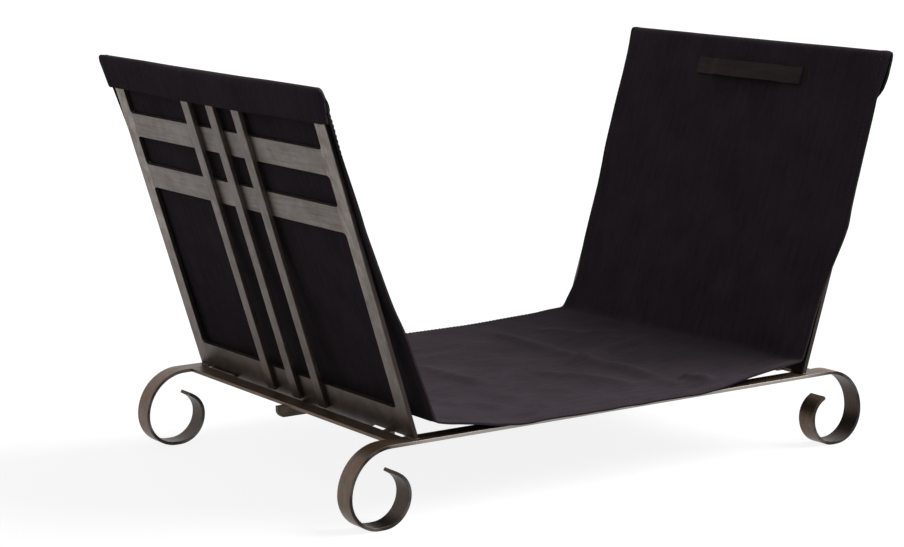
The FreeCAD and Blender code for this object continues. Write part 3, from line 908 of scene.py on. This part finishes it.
def bead(vertices, faces, corners, size):
    """Adds a rippled weld bead along a line of corners."""
    corners = np.array(corners)
    run = distance_along(corners)
    at = np.arange(0.0, run[-1], BEAD_STEP)
    spine = read_along(corners, run, at)
    swell = size * (1.0 + BEAD_SWELL * np.cos(at * 2.0 * math.pi / BEAD_RIPPLE))
    swell[[0, -1]] = BEAD_END
    up = np.array((0.0, 0.0, 1.0))
    across = np.cross(np.gradient(spine, axis=0), up)
    across /= np.linalg.norm(across, axis=1, keepdims=True)
    first = len(vertices)
    for place, out, radius in zip(spine, across, swell):
        for angle in np.arange(BEAD_POINTS) * 2.0 * math.pi / BEAD_POINTS:
            vertices.append(place + radius * (math.cos(angle) * out + math.sin(angle) * up))
    last = first + (len(spine) - 1) * BEAD_POINTS
    faces += [tuple(range(first, first + BEAD_POINTS)), tuple(range(last, last + BEAD_POINTS))]
    for ring in range(first, last, BEAD_POINTS):
        for k in range(BEAD_POINTS):
            a = ring + k
            b = ring + (k + 1) % BEAD_POINTS
            faces.append((a, b, b + BEAD_POINTS, a + BEAD_POINTS))


def foot_welds(side):
    """Beads round the feet of a panel's uprights, and along the rear end of its lower edge."""
    inner = FOOT_HALF - PANEL_DEPTH / math.cos(LEAN)
    start = PANEL_HALF - FOOT_RUN
    turns = ((FOOT_HALF, start), (FOOT_HALF, PANEL_HALF), (inner, PANEL_HALF), (inner, start))
    vertices, faces = [], []
    for end in (-1, 1):
        bead(vertices, faces, [(side * x, end * y, RAIL_TOP) for x, y in turns], FOOT_BEAD)
    middle = side * (FOOT_HALF + CROSS_EDGE) / 2
    bead(vertices, faces, [(middle, y, RAIL_TOP - REAR_SEAM_SUNK) for y in REAR_SEAM], REAR_SEAM_BEAD)
    return new_piece(f"foot_welds_{SIDE_NAMES[side]}", vertices, faces, CENTER_SHADED_FINISH)


for side in (LEFT, RIGHT):
    strap(side)
    strap_stitches(side)
    for welds in (corner_welds(side), foot_welds(side)):
        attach(welds, "frame")

# Stage: a pale floor and a white surround, seen brighter than they light, and one wide key light
WHITE = (1.0, 1.0, 1.0, 1.0)
FLOOR_GREY = (0.16, 0.16, 0.16, 1.0)
FLOOR_GLOW = 0.87
FLOOR_REACH = 9.0
FILL_STRENGTH = 0.32
KEY_STRENGTH, KEY_SPREAD = 4.0, math.radians(42)
KEY_DIRECTION = Vector((-0.62, 0.36, -0.70))


def shows_background(tree):
    """1 for rays that see the background or its mirror image, 0 for rays that light the object."""
    path = tree.add("LightPath", {}).outputs
    seen = tree.math("MAXIMUM", path["Is Camera Ray"], path["Is Glossy Ray"])
    return tree.math("MAXIMUM", seen, path["Is Transmission Ray"])


def studio_floor():
    pale, tree, surface = new_material("pale_floor")
    tree.fill(surface, {
        "Base Color": FLOOR_GREY,
        "Roughness": 0.9,
        "Specular IOR Level": 0.1,
        "Emission Color": WHITE,
        "Emission Strength": tree.remap(shows_background(tree), 0.0, 1.0, 0.0, FLOOR_GLOW),
    })
    corners = [(x * FLOOR_REACH, y * FLOOR_REACH, 0) for x, y in ((-1, -1), (1, -1), (1, 1), (-1, 1))]
    mesh = bpy.data.meshes.new("studio_floor")
    mesh.from_pydata(corners, [], [(0, 1, 2, 3)])
    mesh.materials.append(pale)
    link(bpy.data.objects.new("studio_floor", mesh))


def studio_light():
    world = bpy.data.worlds.new("studio")
    bpy.context.scene.world = world
    tree = NodeTree(world)
    tree.fill(tree.nodes["Background"], {
        "Color": WHITE,
        "Strength": tree.remap(shows_background(tree), 0.0, 1.0, FILL_STRENGTH, 1.0),
    })
    key = bpy.data.lights.new("key_light", "SUN")
    key.energy = KEY_STRENGTH
    key.angle = KEY_SPREAD
    lamp = link(bpy.data.objects.new("key_light", key))
    lamp.rotation_euler = KEY_DIRECTION.to_track_quat("-Z", "Y").to_euler()


# Camera, as fitted to the photo: place in metres, pitch down, roll and heading in degrees, sensor and lens
CAMERA_PLACE = (-1.26720, -1.75398, 0.54488)
CAMERA_PITCH, CAMERA_ROLL, CAMERA_HEADING = 10.11, 0.07, -34.67
SENSOR_WIDTH, LENS = 36.0, 95.58


def studio_camera():
    data = bpy.data.cameras.new("camera")
    data.sensor_width = SENSOR_WIDTH
    data.lens = LENS
    camera = link(bpy.data.objects.new("camera", data))
    camera.location = CAMERA_PLACE
    turns = (90.0 - CAMERA_PITCH, CAMERA_ROLL, CAMERA_HEADING)
    camera.rotation_euler = [math.radians(turn) for turn in turns]
    bpy.context.scene.camera = camera


studio_floor()
studio_light()
studio_camera()
bpy.context.scene.view_settings.view_transform = "Standard"
